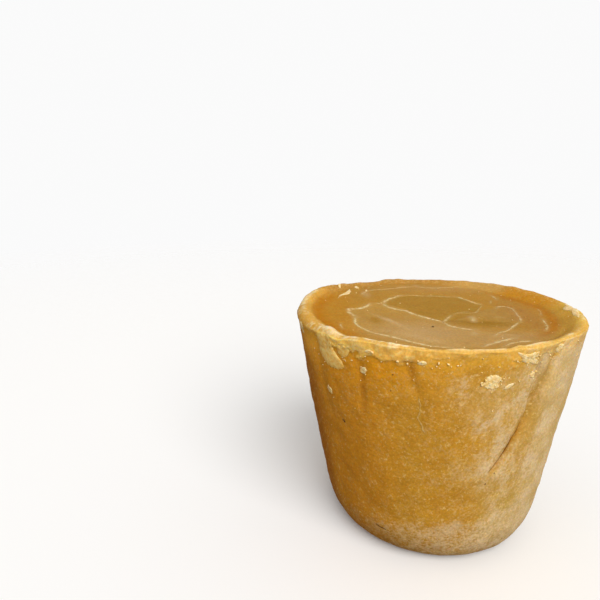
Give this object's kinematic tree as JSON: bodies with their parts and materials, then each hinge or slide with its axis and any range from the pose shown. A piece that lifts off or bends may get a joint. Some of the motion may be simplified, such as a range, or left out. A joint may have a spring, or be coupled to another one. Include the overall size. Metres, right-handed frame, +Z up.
{
  "type": "jaggery block",
  "caption": "Solid bucket-moulded block of jaggery with a tapered side, rounded bottom edge, uneven raised rim and a shallow, almost level top.",
  "frame": {"origin": "middle of the bounding box's bottom, on the ground under the block", "axes": "+Z up, -Y towards the side that shows"},
  "size_m": [0.249, 0.2494, 0.207],
  "materials": {
    "jaggery": "waxy golden-brown sugar with a pale mealy bloom"
  },
  "bodies": {
    "root": {"jaggery_block": "jaggery"}
  },
  "joints": []
}
